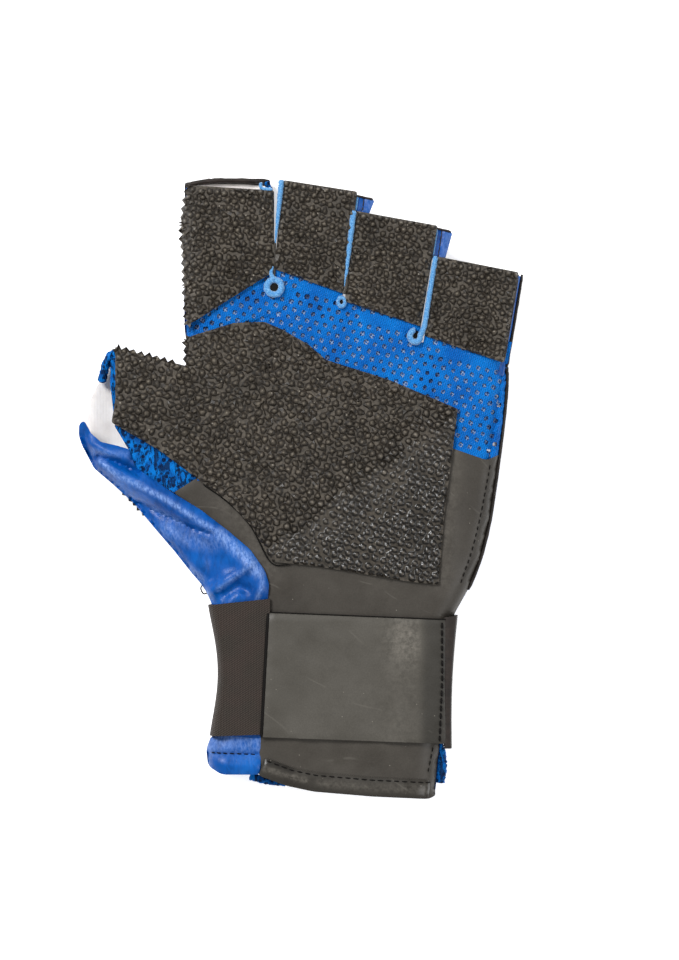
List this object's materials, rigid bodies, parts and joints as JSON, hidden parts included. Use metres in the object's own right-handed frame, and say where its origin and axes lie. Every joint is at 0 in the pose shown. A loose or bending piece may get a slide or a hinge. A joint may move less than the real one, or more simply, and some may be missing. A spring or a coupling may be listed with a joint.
{
  "type": "short-finger grip glove",
  "caption": "Left-hand short-finger grip glove: studded rubber patches over blue mesh, leather thumb, smooth rubber heel and cuff, hook-and-loop wrist strap.",
  "frame": {"origin": "middle of the glove's plan, on the surface that its back rests on", "axes": "+Y towards the fingertips, +X towards the little finger, +Z out of the palm"},
  "size_m": [0.1468, 0.207, 0.018],
  "materials": {
    "pimple_rubber": "studded, slightly shiny tips",
    "smooth_rubber": "satin",
    "blue_mesh": "spacer mesh",
    "blue_leather": "soft sheen",
    "white_lining": "matte brushed knit",
    "light_blue_binding": "matte",
    "black_elastic": "ribbed",
    "brown_binding": "matte",
    "black_thread": "twisted thread",
    "loop_pile": "looped pile",
    "hook_tape": "fine hooks"
  },
  "bodies": {
    "hand": {"palm_grip": "pimple_rubber", "index_grip_root": "pimple_rubber", "palm_mesh": "blue_mesh", "heel_panel": "smooth_rubber", "palm_lining": "white_lining", "back_lining": "white_lining", "back_panel": "blue_leather", "back_grip": "pimple_rubber", "wrist_leather": "blue_leather", "radial_side": "blue_leather", "ulnar_side": "blue_mesh", "web_loops": "light_blue_binding", "cuff_hem": "smooth_rubber", "cuff_leather": "blue_leather", "cuff_back": "blue_leather", "cuff_radial_side": "blue_leather", "cuff_ulnar_side": "blue_mesh", "strap_panel": "smooth_rubber", "strap_elastic": "black_elastic", "strap_edge_binding": "brown_binding", "strap_back": "black_elastic", "loop_patch": "loop_pile", "strap_stitching": "black_thread", "hem_stitching": "black_thread", "seam_stitching": "black_thread"},
    "thumb": {"thumb_grip": "pimple_rubber", "thumb_mesh": "blue_mesh", "thumb_leather": "blue_leather", "thumb_back": "blue_leather", "thumb_back_grip": "pimple_rubber", "thumb_outer_side": "blue_leather", "thumb_web_side": "blue_mesh", "thumb_lining": "white_lining"},
    "strap_tab": {"hook_tab": "hook_tape", "hook_patch": "hook_tape"},
    "index_finger": {"index_grip": "pimple_rubber", "index_back": "pimple_rubber", "index_radial_fourchette": "blue_leather", "index_ulnar_fourchette": "blue_leather", "index_lining": "white_lining"},
    "middle_finger": {"middle_grip": "pimple_rubber", "middle_back": "pimple_rubber", "middle_radial_fourchette": "blue_leather", "middle_ulnar_fourchette": "blue_leather", "middle_lining": "white_lining", "middle_binding": "light_blue_binding"},
    "ring_finger": {"ring_grip": "pimple_rubber", "ring_back": "pimple_rubber", "ring_radial_fourchette": "blue_leather", "ring_ulnar_fourchette": "blue_leather", "ring_lining": "white_lining", "ring_binding": "light_blue_binding"},
    "little_finger": {"little_grip": "pimple_rubber", "little_back": "pimple_rubber", "little_radial_fourchette": "blue_leather", "little_ulnar_fourchette": "blue_leather", "little_lining": "white_lining", "little_binding": "light_blue_binding"}
  },
  "joints": [
    {"name": "index_curl", "type": "hinge", "parent": "hand", "child": "index_finger", "pos_m": [-0.0249, 0.0672, 0.018], "axis": [1, 0, 0], "range_deg": [0, 70]},
    {"name": "middle_curl", "type": "hinge", "parent": "hand", "child": "middle_finger", "pos_m": [0.0023, 0.066, 0.018], "axis": [0.9914, -0.1305, 0], "range_deg": [0, 70]},
    {"name": "ring_curl", "type": "hinge", "parent": "hand", "child": "ring_finger", "pos_m": [0.0269, 0.0554, 0.018], "axis": [0.989, -0.1478, 0], "range_deg": [0, 70]},
    {"name": "little_curl", "type": "hinge", "parent": "hand", "child": "little_finger", "pos_m": [0.0543, 0.0435, 0.018], "axis": [0.9863, -0.165, 0], "range_deg": [0, 70]},
    {"name": "thumb_fold", "type": "hinge", "parent": "hand", "child": "thumb", "pos_m": [-0.03525, 0.0035, 0.018], "axis": [-0.0922, 0.9957, 0], "range_deg": [0, 45]},
    {"name": "tab_peel", "type": "hinge", "parent": "hand", "child": "strap_tab", "pos_m": [-0.012, -0.0632, 0], "axis": [0, 1, 0], "range_deg": [0, 150]}
  ]
}
